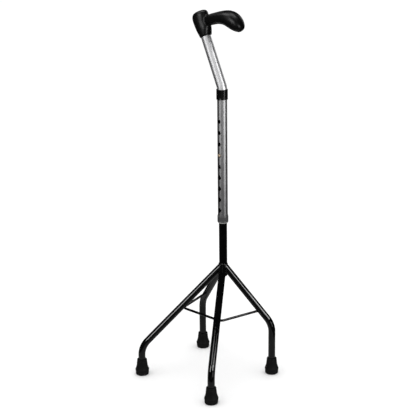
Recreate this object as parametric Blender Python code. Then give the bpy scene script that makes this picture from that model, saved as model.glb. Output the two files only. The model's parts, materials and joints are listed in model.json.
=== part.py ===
"""Quad walking cane: swan-neck handle section, push-button height adjustment and a four-legged base.

Frame: metres, +Z up, the floor at Z = 0 and the origin midway between the four feet.
+Y is forward (the way the handle's boss points) and +X is the user's side, where the legs are short.
"""

import math

import bmesh
import bpy
from mathutils import Matrix, Vector

# --- driving dimensions -------------------------------------------------------------------------

GAP = 0.0003                      # clearance kept between pieces that touch
TURN_STEPS = 32                   # sides of a turned piece

STEM_X = 0.058                    # the stem stands this far to the user's side of the middle
FOOT_X = 0.102                    # half the distance between the inner and outer feet
FOOT_Y = 0.109                    # half the distance between the front and rear feet

STEM_RADIUS = 0.0092
STEM_BORE = 0.0077
STEM_BOTTOM = 0.227
STEM_TOP = 0.529

TUBE_RADIUS = 0.0111              # neck tube and height tube share one outside diameter
TUBE_BORE = 0.0099
HEIGHT_TUBE_BOTTOM = 0.3620
HEIGHT_TUBE_TOP = 0.6435

HOLE_PITCH = 0.0254
HOLE_COUNT = 9
TOP_HOLE_Z = 0.5855
HOLE_RADIUS = 0.0039
BUTTON_HOLE = 3                   # the button sits in the fourth hole from the top
BUTTON_Z = TOP_HOLE_Z - BUTTON_HOLE * HOLE_PITCH
BUTTON_RADIUS = 0.0036
BUTTON_INNER_END = 0.0060         # distances from the stem's axis
BUTTON_SHOULDER = 0.0118
BUTTON_CROWN = 0.0134

NECK_BEND_Z = 0.6603              # where the neck's straight runs would cross
NECK_LEAN = math.radians(23.8)
NECK_BEND_RADIUS = 0.050
NECK_SPIGOT_BOTTOM = 0.612
NECK_SPIGOT_TOP = 0.6440
NECK_SPIGOT_RADIUS = 0.0096
NECK_SPIGOT_BORE = 0.0084
NECK_SHOULDER = 0.0048            # length of the swaged taper above the spigot
NECK_LENGTH = 0.148               # from the bend's corner to the end inside the handle
RIVET_Z = 0.636
RIVET_RADIUS = 0.0020

SOCKET_RIM = 0.1158               # distances along the leaning neck, from the bend's corner
SOCKET_END = 0.1483
SOCKET_BORE = TUBE_RADIUS + GAP
PLUG_START = 0.128
SCREW_AT = 0.138
SCREW_RADIUS = 0.0018
SCREW_HEAD_RADIUS = 0.0035
SCREW_HEAD_SEAT = 0.0128          # distance of the head's underside from the neck's axis

LEG_RADIUS = 0.0080
LEG_BORE = 0.0068
LEG_JUNCTION_Z = 0.252            # where the legs' centre lines meet the stem's axis
LEG_END_Z = 0.0136
LEG_BEND_RADIUS = 0.048
OUTER_BEND_Z = 0.0674
INNER_BEND_Z = 0.1203
LEG_STEPS = 20

BRACE_Z = 0.151
BRACE_RADIUS = 0.0028
BRACE_CORNER_RADIUS = 0.012
BRACE_CORNER_OFFSET = (0.0141, -0.0006)   # from an outer leg's axis to the brace's corner, X and outward Y
BRACE_END_INSET = 0.0103          # from an inner leg's axis to the brace's end

FERRULE_BORE = LEG_RADIUS + GAP
FERRULE_SEAT_Z = 0.0120
FERRULE_TOP = 0.0374
WASHER_RADIUS = 0.0076
WASHER_HOLE = 0.0030

# foot name: (side of the middle along X, along Y, height of the leg's bend corner)
FEET = {
    "front_inner": (1, 1, INNER_BEND_Z),
    "rear_inner": (1, -1, INNER_BEND_Z),
    "front_outer": (-1, 1, OUTER_BEND_Z),
    "rear_outer": (-1, -1, OUTER_BEND_Z),
}

# --- materials ----------------------------------------------------------------------------------


def material(name, colour, roughness, metallic=0.0):
    made = bpy.data.materials.new(name)
    made.use_nodes = True
    shader = made.node_tree.nodes["Principled BSDF"]
    shader.inputs["Base Color"].default_value = (*colour, 1.0)
    shader.inputs["Roughness"].default_value = roughness
    shader.inputs["Metallic"].default_value = metallic
    return made


# --- mesh helpers -------------------------------------------------------------------------------


def add_object(name, bm, finish):
    """A mesh object in the scene, from a finished bmesh, with its normals pointing out."""
    bmesh.ops.recalc_face_normals(bm, faces=bm.faces)
    mesh = bpy.data.meshes.new(name)
    bm.to_mesh(mesh)
    bm.free()
    mesh.materials.append(finish)
    mesh.shade_smooth()
    mesh.set_sharp_from_angle(angle=math.radians(35))
    made = bpy.data.objects.new(name, mesh)
    bpy.context.collection.objects.link(made)
    return made


def turned(name, profile, finish, place=Matrix(), steps=TURN_STEPS):
    """A body of revolution: profile is a list of (radius, height).

    It is closed, or open between two points on the axis.
    """
    bm = bmesh.new()
    verts = [bm.verts.new((radius, 0.0, height)) for radius, height in profile]
    touches_axis = profile[0][0] == 0.0
    pairs = list(zip(verts, verts[1:]))
    if not touches_axis:
        pairs.append((verts[-1], verts[0]))
    edges = [bm.edges.new(pair) for pair in pairs]
    bmesh.ops.spin(bm, geom=verts + edges, cent=(0, 0, 0), axis=(0, 0, 1), dvec=(0, 0, 0),
                   angle=math.tau, steps=steps, use_merge=True)
    bmesh.ops.remove_doubles(bm, verts=bm.verts, dist=1e-6)
    bmesh.ops.transform(bm, matrix=place, verts=bm.verts)
    return add_object(name, bm, finish)


def ring(bm, centre, across, normal, half_across, half_normal, steps, power=2.0):
    """A closed loop of vertices: an ellipse, or a squarer superellipse when power is over 2."""
    verts = []
    for n in range(steps):
        angle = math.tau * n / steps
        c, s = math.cos(angle), math.sin(angle)
        u = math.copysign(abs(c) ** (2 / power), c) * half_across
        v = math.copysign(abs(s) ** (2 / power), s) * half_normal
        verts.append(bm.verts.new(Vector(centre) + u * Vector(across) + v * Vector(normal)))
    return verts


def skin(bm, rings, closed=False):
    """Quads between each ring and the next, and from the last to the first when closed."""
    following = rings[1:] + rings[:1] if closed else rings[1:]
    for low, high in zip(rings, following):
        count = len(low)
        for n in range(count):
            m = (n + 1) % count
            bm.faces.new((low[n], low[m], high[m], high[n]))


def rounded_path(points, radius, steps=8):
    """Points along a polyline whose inner corners are rounded to one radius."""
    points = [Vector(p) for p in points]
    path = [points[0]]
    for before, corner, after in zip(points, points[1:], points[2:]):
        toward, away = (before - corner).normalized(), (after - corner).normalized()
        half = toward.angle(away) / 2
        reach = radius / math.tan(half)
        middle = corner + (toward + away).normalized() * (radius / math.sin(half))
        start, end = corner + toward * reach - middle, corner + away * reach - middle
        turn = start.angle(end)
        for n in range(steps + 1):
            part = n / steps
            weights = math.sin((1 - part) * turn) / math.sin(turn), math.sin(part * turn) / math.sin(turn)
            path.append(middle + weights[0] * start + weights[1] * end)
    path.append(points[-1])
    return path


def tangents(path):
    """The direction of a path at each of its points."""
    ends = zip([path[0]] + path[:-1], path[1:] + [path[-1]])
    return [(after - before).normalized() for before, after in ends]


def tube(name, path, radius, bore, across, finish, steps=TURN_STEPS):
    """A tube open at both ends along a path in one plane, whose normal is across.

    radius and bore are one number each, or a list with one for each point of the path.
    """
    bm = bmesh.new()
    across = Vector(across).normalized()
    walls = []
    for size in (radius, bore):
        sizes = size if isinstance(size, list) else [size] * len(path)
        walls.append([
            ring(bm, centre, across, direction.cross(across), r, r, steps)
            for centre, direction, r in zip(path, tangents(path), sizes)
        ])
    outside, inside = walls
    skin(bm, outside + inside[::-1], closed=True)
    return add_object(name, bm, finish)


def cylinder_between(name, start, end, radius, finish=None, steps=16):
    """A solid round bar from one point to another. Without a finish it is a cutter."""
    start, end = Vector(start), Vector(end)
    direction = end - start
    place = Matrix.Translation(start) @ direction.to_track_quat("Z", "Y").to_matrix().to_4x4()
    profile = [(0.0, 0.0), (radius, 0.0), (radius, direction.length), (0.0, direction.length)]
    return turned(name, profile, finish or CUTTER_FINISH, place, steps)


def cut(target, cutter):
    """Take a cutter's shape out of an object, and hide the cutter."""
    cutter.hide_render = True
    cutter.display_type = "WIRE"
    modifier = target.modifiers.new("cut_" + cutter.name, "BOOLEAN")
    modifier.operation = "DIFFERENCE"
    modifier.solver = "EXACT"
    modifier.object = cutter


# --- places -------------------------------------------------------------------------------------


def stem_point(z, x=0.0, y=0.0):
    return Vector((STEM_X + x, y, z))


NECK_DIRECTION = Vector((0.0, math.sin(NECK_LEAN), math.cos(NECK_LEAN)))
NECK_FRONT = Vector((0.0, math.cos(NECK_LEAN), -math.sin(NECK_LEAN)))


def neck_point(along, front=0.0):
    """A point at a distance up the leaning neck, and one in front of its axis."""
    return stem_point(NECK_BEND_Z) + along * NECK_DIRECTION + front * NECK_FRONT


def foot_point(side_x, side_y, z):
    return Vector((side_x * FOOT_X, side_y * FOOT_Y, z))


def plan_azimuth(side_x, side_y):
    """The compass angle of a leg as it leaves the stem, seen from above."""
    foot = foot_point(side_x, side_y, 0.0) - stem_point(0.0)
    return math.atan2(foot.y, foot.x)


# --- the base -----------------------------------------------------------------------------------


def make_stem():
    path = [stem_point(STEM_BOTTOM), stem_point(STEM_TOP)]
    stem = tube("stem", path, STEM_RADIUS, STEM_BORE, (0, 1, 0), BLACK_PAINT)
    hole = cylinder_between("stem_hole_cutter", stem_point(BUTTON_Z, -0.02), stem_point(BUTTON_Z),
                            HOLE_RADIUS)
    cut(stem, hole)


def make_stem_fittings():
    plug = [(0.0, -0.0012), (0.0070, -0.0022), (0.0086, -0.0012), (0.0090, 0.0), (0.0090, 0.0012),
            (STEM_BORE - GAP, 0.0012), (STEM_BORE - GAP, 0.0110), (0.0, 0.0110)]
    turned("stem_end_plug", plug, BLACK_PLASTIC, Matrix.Translation(stem_point(STEM_BOTTOM - 0.0012 - GAP)))
    guide = [(0.0055, 0.0040), (0.0090, 0.0040), (0.0096, 0.0032), (0.0096, 0.0), (STEM_BORE - GAP, 0.0),
             (STEM_BORE - GAP, -0.0090), (0.0055, -0.0090)]
    turned("stem_top_guide", guide, NYLON, Matrix.Translation(stem_point(STEM_TOP + GAP)))


def wedge_cutter(name, azimuth, side):
    """A block on one side of the upright plane that holds the stem's axis and faces across azimuth."""
    size = 0.12
    bm = bmesh.new()
    bmesh.ops.create_cube(bm, size=size)
    offset = Matrix.Translation((size / 2 - 0.02, side * (size / 2 - GAP / 2), LEG_JUNCTION_Z))
    place = Matrix.Translation(stem_point(0.0)) @ Matrix.Rotation(azimuth, 4, "Z") @ offset
    bmesh.ops.transform(bm, matrix=place, verts=bm.verts)
    return add_object(name, bm, CUTTER_FINISH)


def make_leg(foot_name, side_x, side_y, bend_z):
    corner = foot_point(side_x, side_y, bend_z)
    end = foot_point(side_x, side_y, LEG_END_Z)
    path = rounded_path([stem_point(LEG_JUNCTION_Z), corner, end], LEG_BEND_RADIUS)
    azimuth = plan_azimuth(side_x, side_y)
    across = (-math.sin(azimuth), math.cos(azimuth), 0.0)
    leg = tube("leg_" + foot_name, path, LEG_RADIUS, LEG_BORE, across, BLACK_PAINT, LEG_STEPS)
    cope = cylinder_between("cope_cutter_" + foot_name, stem_point(LEG_JUNCTION_Z - 0.05),
                            stem_point(LEG_JUNCTION_Z + 0.05), STEM_RADIUS + GAP, steps=TURN_STEPS)
    cut(leg, cope)
    # a leg is mitred against the neighbour on its own side, and the two outer ones against each other
    neighbour = plan_azimuth(-side_x, side_y)
    halfway = side_y * (abs(azimuth) + abs(neighbour)) / 2
    toward_neighbour = side_y if side_x > 0 else -side_y
    cut(leg, wedge_cutter("mitre_cutter_" + foot_name, halfway, toward_neighbour))
    if side_x < 0:
        cut(leg, wedge_cutter("middle_cutter_" + foot_name, math.pi, side_y))


def leg_at_brace(side_x, side_y, bend_z):
    """Where a leg's centre line passes the brace's height."""
    down = (LEG_JUNCTION_Z - BRACE_Z) / (LEG_JUNCTION_Z - bend_z)
    return stem_point(BRACE_Z).lerp(foot_point(side_x, side_y, BRACE_Z), down)


def make_brace():
    """One bent rod that ties the four legs together, open on the user's side."""
    corners, ends = [], []
    for side_y in (1, -1):
        offset = Vector((BRACE_CORNER_OFFSET[0], side_y * BRACE_CORNER_OFFSET[1], 0.0))
        corners.append(leg_at_brace(-1, side_y, OUTER_BEND_Z) + offset)
        inner_leg = leg_at_brace(1, side_y, INNER_BEND_Z)
        ends.append(inner_leg + BRACE_END_INSET * (corners[-1] - inner_leg).normalized())
    path = rounded_path([ends[0], corners[0], corners[1], ends[1]], BRACE_CORNER_RADIUS)
    curve = bpy.data.curves.new("brace_rod", "CURVE")
    curve.dimensions = "3D"
    curve.bevel_depth = BRACE_RADIUS
    curve.bevel_resolution = 3
    curve.use_fill_caps = True
    spline = curve.splines.new("POLY")
    spline.points.add(len(path) - 1)
    for point, place in zip(spline.points, path):
        point.co = (*place, 1.0)
    curve.materials.append(BLACK_PAINT)
    rod = bpy.data.objects.new("brace_rod", curve)
    bpy.context.collection.objects.link(rod)


def make_foot(foot_name, side_x, side_y):
    place = Matrix.Translation(foot_point(side_x, side_y, 0.0))
    outside = [(0.0, 0.0), (0.0132, 0.0), (0.0145, 0.0009), (0.0152, 0.0032), (0.0152, 0.0100),
               (0.0158, 0.0110), (0.0158, 0.0130), (0.0124, 0.0220), (0.0112, 0.0365), (0.0106, FERRULE_TOP)]
    inside = [(FERRULE_BORE, FERRULE_TOP), (FERRULE_BORE, FERRULE_SEAT_Z), (0.0, FERRULE_SEAT_Z)]
    turned("ferrule_" + foot_name, outside + inside, RUBBER, place)
    low, high = FERRULE_SEAT_Z + GAP, LEG_END_Z - GAP
    washer = [(WASHER_HOLE, low), (WASHER_RADIUS, low), (WASHER_RADIUS, high), (WASHER_HOLE, high)]
    turned("ferrule_washer_" + foot_name, washer, ZINC, place, steps=24)


# --- the button ---------------------------------------------------------------------------------


def make_button():
    """The domed pin, which points out on the outer side (-X), and the bent leaf that pushes it out."""
    profile = [(0.0, BUTTON_INNER_END), (BUTTON_RADIUS, BUTTON_INNER_END), (BUTTON_RADIUS, BUTTON_SHOULDER)]
    dome_steps = 5
    for n in range(1, dome_steps):
        angle = math.pi / 2 * n / dome_steps
        height = BUTTON_SHOULDER + (BUTTON_CROWN - BUTTON_SHOULDER) * math.sin(angle)
        profile.append((BUTTON_RADIUS * math.cos(angle), height))
    profile.append((0.0, BUTTON_CROWN))
    outward = Matrix.Rotation(-math.pi / 2, 4, "Y")
    turned("snap_button", profile, BRASS, Matrix.Translation(stem_point(BUTTON_Z)) @ outward, steps=24)


def make_button_spring():
    """A leaf folded into a V, with its closed end down: one arm behind the button, one on the far wall."""
    thick, width = 0.0006, 0.0070
    top, bottom = BUTTON_Z + 0.0045, BUTTON_Z - 0.042
    near, far, fold = -BUTTON_INNER_END + GAP + thick / 2, 0.0062, 0.0022
    path = rounded_path(
        [stem_point(top, near), stem_point(BUTTON_Z - 0.006, near), stem_point(bottom, -fold),
         stem_point(bottom, fold), stem_point(BUTTON_Z - 0.012, far), stem_point(top, far)],
        0.0016, steps=4,
    )
    bm = bmesh.new()
    rings = []
    for centre, direction in zip(path, tangents(path)):
        side = direction.cross(Vector((0, 1, 0))) * (thick / 2)
        half = Vector((0, width / 2, 0))
        corners = (side + half, side - half, -side - half, -side + half)
        rings.append([bm.verts.new(centre + corner) for corner in corners])
    skin(bm, rings)
    bm.faces.new(rings[0][::-1])
    bm.faces.new(rings[-1])
    add_object("button_spring", bm, SPRING_STEEL)


# --- the upper section --------------------------------------------------------------------------


def make_height_tube():
    path = [stem_point(HEIGHT_TUBE_BOTTOM), stem_point(HEIGHT_TUBE_TOP)]
    height_tube = tube("height_tube", path, TUBE_RADIUS, TUBE_BORE, (0, 1, 0), GREY_ANODISED)
    for n in range(HOLE_COUNT):
        z = TOP_HOLE_Z - n * HOLE_PITCH
        drill = cylinder_between("hole_cutter_%d" % n, stem_point(z, -0.02), stem_point(z), HOLE_RADIUS)
        cut(height_tube, drill)
    cut(height_tube, rivet_hole("height_tube"))


def rivet_hole(owner):
    return cylinder_between("rivet_cutter_" + owner, stem_point(RIVET_Z, -0.02), stem_point(RIVET_Z, 0.02),
                            RIVET_RADIUS + GAP)


def make_collars():
    """The moulded rings: one hides the joint between the tubes, one caps the height tube's foot."""
    upper = [(0.01175, 0.6338), (0.0123, 0.6338), (0.0128, 0.6344), (0.0128, 0.6556), (0.0123, 0.6562),
             (0.01175, 0.6562)]
    turned("upper_collar", upper, BLACK_PLASTIC, Matrix.Translation(stem_point(0.0)))
    lower = [(0.0114, 0.3543), (0.0120, 0.3543), (0.0124, 0.3550), (0.0124, 0.3672), (0.0119, 0.3690),
             (0.0115, 0.3706), (0.0114, 0.3706)]
    turned("lower_collar", lower, GREY_PLASTIC, Matrix.Translation(stem_point(0.0)))
    sleeve = [(0.0095, 0.3524), (0.0115, 0.3524), (0.0119, 0.3528), (0.0119, 0.3540), (0.0111, 0.3540),
              (0.0111, 0.3617), (0.0095, 0.3617)]
    turned("guide_sleeve", sleeve, NYLON, Matrix.Translation(stem_point(0.0)))


def make_neck():
    """The swan-neck tube: its swaged foot stands in the height tube and its head leans forward."""
    bend = rounded_path(
        [stem_point(NECK_SPIGOT_TOP + NECK_SHOULDER), stem_point(NECK_BEND_Z), neck_point(NECK_LENGTH)],
        NECK_BEND_RADIUS,
    )
    spigot = [stem_point(NECK_SPIGOT_BOTTOM), stem_point(NECK_SPIGOT_TOP)]
    outer = [NECK_SPIGOT_RADIUS] * len(spigot) + [TUBE_RADIUS] * len(bend)
    inner = [NECK_SPIGOT_BORE] * len(spigot) + [TUBE_BORE] * len(bend)
    neck = tube("neck_tube", spigot + bend, outer, inner, (1, 0, 0), BRIGHT_ALUMINIUM)
    cut(neck, rivet_hole("neck_tube"))
    cut(neck, screw_hole("neck_tube"))
    cylinder_between("neck_rivet", stem_point(RIVET_Z, -0.0113), stem_point(RIVET_Z, 0.0113), RIVET_RADIUS,
                     ZINC)


def screw_hole(owner):
    return cylinder_between("screw_cutter_" + owner, neck_point(SCREW_AT, 0.0030),
                            neck_point(SCREW_AT, 0.0200), SCREW_RADIUS + GAP)


def make_neck_plug():
    """The plug inside the neck tube's end, which the handle's screw bites into."""
    radius = TUBE_BORE - GAP
    place = Matrix.Translation(neck_point(0.0)) @ Matrix.Rotation(-NECK_LEAN, 4, "X")
    profile = [(0.0, PLUG_START), (radius - 0.001, PLUG_START), (radius, PLUG_START + 0.001),
               (radius, NECK_LENGTH - GAP), (0.0, NECK_LENGTH - GAP)]
    plug = turned("neck_plug", profile, NYLON, place)
    cut(plug, screw_hole("neck_plug"))


def make_handle_screw():
    profile = [(0.0, 0.0033), (SCREW_RADIUS, 0.0045), (SCREW_RADIUS, SCREW_HEAD_SEAT),
               (SCREW_HEAD_RADIUS, SCREW_HEAD_SEAT), (SCREW_HEAD_RADIUS, SCREW_HEAD_SEAT + 0.0010),
               (0.0026, SCREW_HEAD_SEAT + 0.0017), (0.0, SCREW_HEAD_SEAT + 0.0017)]
    forward = Matrix.Rotation(-NECK_LEAN, 4, "X") @ Matrix.Rotation(-math.pi / 2, 4, "X")
    turned("handle_screw", profile, ZINC, Matrix.Translation(neck_point(SCREW_AT)) @ forward, steps=24)


# boss stations: (distance up the neck, forward offset, half size forward, half size sideways)
BOSS_STATIONS = [
    (SOCKET_RIM, -0.0008, 0.0130, 0.0124),
    (0.1172, -0.0008, 0.0140, 0.0129),
    (0.1220, -0.0014, 0.0157, 0.0134),
    (0.1320, -0.0020, 0.0192, 0.0140),
    (0.1450, -0.0014, 0.0201, 0.0145),
    (0.1570, -0.0022, 0.0214, 0.0147),
    (0.1645, -0.0032, 0.0204, 0.0143),
    (0.1692, -0.0037, 0.0164, 0.0123),
    (0.1713, -0.0042, 0.0102, 0.0082),
]
# grip stations: (forward of the stem, height, half height, half width)
GRIP_STATIONS = [
    (0.0560, 0.7965, 0.0108, 0.0056),
    (0.0450, 0.8000, 0.0116, 0.0080),
    (0.0330, 0.8034, 0.0121, 0.0109),
    (0.0110, 0.8090, 0.0128, 0.0150),
    (-0.0075, 0.8114, 0.0150, 0.0168),
    (-0.0210, 0.8108, 0.0172, 0.0174),
    (-0.0330, 0.8070, 0.0178, 0.0172),
    (-0.0435, 0.8005, 0.0161, 0.0158),
    (-0.0515, 0.7938, 0.0121, 0.0122),
    (-0.0560, 0.7888, 0.0072, 0.0072),
]
GRIP_POWER = 2.25


def lofted(name, sections, finish, power=2.0, steps=24):
    """A closed solid through sections: (centre, sideways, upward, half sideways, half upward)."""
    bm = bmesh.new()
    rings = [ring(bm, *section, steps, power) for section in sections]
    skin(bm, rings)
    bm.faces.new(rings[0])
    bm.faces.new(rings[-1][::-1])
    return add_object(name, bm, finish)


def make_handle():
    """The moulded grip: an upright boss over the neck's end, and a palm rest that runs back from it."""
    sideways = Vector((1, 0, 0))
    boss = [
        (neck_point(along, offset), sideways, NECK_FRONT, half_side, half_front)
        for along, offset, half_front, half_side in BOSS_STATIONS
    ]
    handle = lofted("handle", boss, BLACK_PLASTIC)
    spine = [stem_point(height, y=forward) for forward, height, _, _ in GRIP_STATIONS]
    grip = [
        (centre, sideways, direction.cross(sideways), half_width, half_height)
        for centre, direction, (_, _, half_height, half_width) in zip(spine, tangents(spine), GRIP_STATIONS)
    ]
    palm = lofted("palm_rest_shape", grip, BLACK_PLASTIC, GRIP_POWER)
    palm.hide_render = True
    palm.display_type = "WIRE"
    join = handle.modifiers.new("palm_rest", "BOOLEAN")
    join.operation = "UNION"
    join.solver = "EXACT"
    join.object = palm
    cut(handle, cylinder_between("socket_cutter", neck_point(SOCKET_RIM - 0.01), neck_point(SOCKET_END),
                                 SOCKET_BORE, steps=TURN_STEPS))
    cut(handle, screw_hole("handle"))
    cut(handle, cylinder_between("head_cutter", neck_point(SCREW_AT, SCREW_HEAD_SEAT - GAP),
                                 neck_point(SCREW_AT, 0.025), SCREW_HEAD_RADIUS + GAP, steps=24))


# --- the whole cane -----------------------------------------------------------------------------

for old in list(bpy.data.objects):
    bpy.data.objects.remove(old, do_unlink=True)

CUTTER_FINISH = material("cutter", (0.8, 0.2, 0.2), 0.5)
BLACK_PAINT = material("black_gloss_paint", (0.012, 0.012, 0.013), 0.22)
BLACK_PLASTIC = material("black_moulded_plastic", (0.014, 0.014, 0.015), 0.38)
GREY_PLASTIC = material("grey_moulded_plastic", (0.09, 0.09, 0.10), 0.5)
GREY_ANODISED = material("grey_anodised_aluminium", (0.30, 0.30, 0.33), 0.38, 1.0)
BRIGHT_ALUMINIUM = material("bright_aluminium", (0.86, 0.86, 0.87), 0.18, 1.0)
BRASS = material("brass", (0.72, 0.48, 0.25), 0.3, 1.0)
ZINC = material("zinc_plated_steel", (0.62, 0.62, 0.60), 0.35, 1.0)
SPRING_STEEL = material("spring_steel", (0.45, 0.45, 0.47), 0.35, 1.0)
NYLON = material("pale_nylon", (0.72, 0.72, 0.70), 0.5)
RUBBER = material("black_rubber", (0.02, 0.02, 0.02), 0.8)

make_stem()
make_stem_fittings()
for foot_name, (side_x, side_y, bend_z) in FEET.items():
    make_leg(foot_name, side_x, side_y, bend_z)
    make_foot(foot_name, side_x, side_y)
make_brace()
make_button()
make_button_spring()
make_height_tube()
make_collars()
make_neck()
make_neck_plug()
make_handle_screw()
make_handle()
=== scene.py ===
"""Looks of the quad walking cane: fine pieces, materials, floor, light and camera round the frame.

Metres, +Z up, the floor at Z = 0. +Y is forward and +X is the user's side, as in the CAD.
"""

import json
import math

import bmesh
import bpy
from mathutils import Matrix, Vector
from mathutils.bvhtree import BVHTree

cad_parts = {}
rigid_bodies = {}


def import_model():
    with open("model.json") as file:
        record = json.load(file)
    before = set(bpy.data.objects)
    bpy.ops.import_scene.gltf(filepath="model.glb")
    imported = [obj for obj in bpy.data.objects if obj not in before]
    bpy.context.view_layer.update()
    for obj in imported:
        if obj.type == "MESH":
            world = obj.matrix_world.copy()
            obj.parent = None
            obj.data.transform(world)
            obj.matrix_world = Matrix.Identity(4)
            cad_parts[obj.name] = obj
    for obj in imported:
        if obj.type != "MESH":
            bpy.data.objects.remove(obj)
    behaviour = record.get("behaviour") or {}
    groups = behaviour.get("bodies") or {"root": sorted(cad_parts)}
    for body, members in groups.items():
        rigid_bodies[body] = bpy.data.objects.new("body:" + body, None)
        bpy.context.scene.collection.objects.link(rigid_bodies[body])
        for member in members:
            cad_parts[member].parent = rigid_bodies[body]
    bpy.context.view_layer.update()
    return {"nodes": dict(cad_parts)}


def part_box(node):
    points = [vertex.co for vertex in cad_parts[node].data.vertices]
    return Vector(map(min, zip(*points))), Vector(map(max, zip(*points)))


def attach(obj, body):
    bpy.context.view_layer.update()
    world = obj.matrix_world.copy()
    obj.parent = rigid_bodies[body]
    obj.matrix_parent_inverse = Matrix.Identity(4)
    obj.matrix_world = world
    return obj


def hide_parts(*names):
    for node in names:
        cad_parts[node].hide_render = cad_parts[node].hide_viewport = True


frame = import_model()
NODES = frame["nodes"]

# --- sizes, the same as the CAD's -----------------------------------------------------------------

MM = 0.001
STEM_LOW, STEM_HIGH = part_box("stem")
STEM_X = (STEM_LOW.x + STEM_HIGH.x) / 2
STEM_RADIUS = (STEM_HIGH.x - STEM_LOW.x) / 2
STEM_BORE = 7.7 * MM

TUBE_LOW, TUBE_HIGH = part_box("height_tube")
TUBE_RADIUS = (TUBE_HIGH.x - TUBE_LOW.x) / 2
TUBE_BORE = 9.9 * MM
HOLE_PITCH = 25.4 * MM
HOLE_COUNT = 9
TOP_HOLE_Z = 585.5 * MM
HOLE_RADIUS = 3.9 * MM
RIVET_HOLE_RADIUS = 2.3 * MM
BUTTON_Z = TOP_HOLE_Z - 3 * HOLE_PITCH
RIVET_Z = 636 * MM

SPIGOT_LOW = 612 * MM
SPIGOT_HIGH = 644 * MM
SPIGOT_SHOULDER = 4.8 * MM
SPIGOT_RADIUS = 9.6 * MM
SPIGOT_BORE = 8.4 * MM
NECK_BEND_Z = 660.3 * MM
NECK_LEAN = math.radians(23.8)
NECK_BEND_RADIUS = 50 * MM
NECK_LENGTH = 148 * MM
SOCKET_RIM = 115.8 * MM
SOCKET_END = 148.3 * MM
SCREW_AT = 138 * MM
SCREW_HEAD_SEAT = 12.8 * MM
SCREW_HEAD_RADIUS = 3.5 * MM

LEG_RADIUS = 8.0 * MM
LEG_BORE = 6.8 * MM
LEG_JUNCTION_Z = 252 * MM
LEG_END_Z = 13.6 * MM
LEG_BEND_RADIUS = 48 * MM
OUTER_BEND_Z = 67.4 * MM
INNER_BEND_Z = 120.3 * MM
FOOT_X = 102 * MM
FOOT_Y = 109 * MM

BRACE_Z = 151 * MM
BRACE_RADIUS = 2.8 * MM
BRACE_CORNER_RADIUS = 12 * MM
BRACE_CORNER_OFFSET = (14.1 * MM, -0.6 * MM)
GAP = 0.3 * MM
CUTTER_REACH = 20 * MM

# foot name: (side along X, side along Y, height of the leg's bend corner)
FEET = {
    "front_inner": (1, 1, INNER_BEND_Z),
    "rear_inner": (1, -1, INNER_BEND_Z),
    "front_outer": (-1, 1, OUTER_BEND_Z),
    "rear_outer": (-1, -1, OUTER_BEND_Z),
}

# --- the camera, at the photograph's viewing angle ------------------------------------------------

CAMERA_AT = Vector((-1.7012, -1.6171, 1.1301))
CAMERA_RIGHT = Vector((0.6833, -0.7301, -0.0100))
CAMERA_UP = Vector((0.2249, 0.1974, 0.9542))
CAMERA_LENS = 95.53
CAMERA_SENSOR = 36.0
CAMERA_CLIP_END = 200.0


def make_camera():
    """The scene's camera, from its place and its own right and up directions."""
    data = bpy.data.cameras.new("camera")
    data.lens = CAMERA_LENS
    data.sensor_width = CAMERA_SENSOR
    data.clip_end = CAMERA_CLIP_END
    camera = bpy.data.objects.new("camera", data)
    bpy.context.scene.collection.objects.link(camera)
    right = CAMERA_RIGHT.normalized()
    back = right.cross(CAMERA_UP).normalized()
    up = back.cross(right)
    facing = Matrix((right, up, back)).transposed()
    camera.matrix_world = Matrix.Translation(CAMERA_AT) @ facing.to_4x4()
    bpy.context.scene.camera = camera


# --- materials ------------------------------------------------------------------------------------


def node(tree, kind, inputs=(), **settings):
    """A new shader node; an input is a number, a vector, a colour or another node's output."""
    made = tree.nodes.new(kind)
    for key, value in settings.items():
        setattr(made, key, value)
    for key, value in dict(inputs).items():
        if isinstance(value, bpy.types.NodeSocket):
            tree.links.new(value, made.inputs[key])
        else:
            made.inputs[key].default_value = value
    return made


def start_material(name, **values):
    """A material, its node tree and its shader, with the uniform values set on the shader itself."""
    made = bpy.data.materials.new(name)
    made.use_nodes = True
    tree = made.node_tree
    shader = tree.nodes["Principled BSDF"]
    for key, value in values.items():
        shader.inputs[key.replace("_", " ")].default_value = value
    return made, tree, shader


def place_on(tree, along, scale=(1.0, 1.0, 1.0)):
    """Coordinates for patterns: along a straightened tube, or in the row frame."""
    if along:
        source = node(tree, "ShaderNodeAttribute", attribute_name="straight").outputs["Vector"]
    else:
        source = node(tree, "ShaderNodeTexCoord").outputs["Object"]
    return node(tree, "ShaderNodeMapping", {"Vector": source, "Scale": scale}).outputs["Vector"]


def noise(tree, vector, scale, detail=3.0, roughness=0.55):
    """Soft random values; the scale is in features per metre, before the coordinates' own scale."""
    made = node(tree, "ShaderNodeTexNoise",
                {"Vector": vector, "Scale": scale, "Detail": detail, "Roughness": roughness})
    return made.outputs["Fac"]


def ranged(tree, value, low, high, from_low=0.3, from_high=0.7):
    """The value stretched from one range to another, and held inside the new one."""
    made = node(tree, "ShaderNodeMapRange", {
        "Value": value, "From Min": from_low, "From Max": from_high, "To Min": low, "To Max": high,
    })
    return made.outputs["Result"]


def blended(tree, factor, first, second):
    """A colour between two others."""
    made = tree.nodes.new("ShaderNodeMix")
    made.data_type = "RGBA"
    tree.links.new(factor, made.inputs["Factor"])
    for place, colour in ((6, first), (7, second)):
        if isinstance(colour, bpy.types.NodeSocket):
            tree.links.new(colour, made.inputs[place])
        else:
            made.inputs[place].default_value = (*colour, 1.0)
    return made.outputs[2]


def bumped(tree, shader, height, strength, distance):
    """Tilt the shader's normals by a height, with the distance in metres."""
    made = node(tree, "ShaderNodeBump", {"Height": height, "Strength": strength, "Distance": distance})
    tree.links.new(made.outputs["Normal"], shader.inputs["Normal"])


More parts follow.
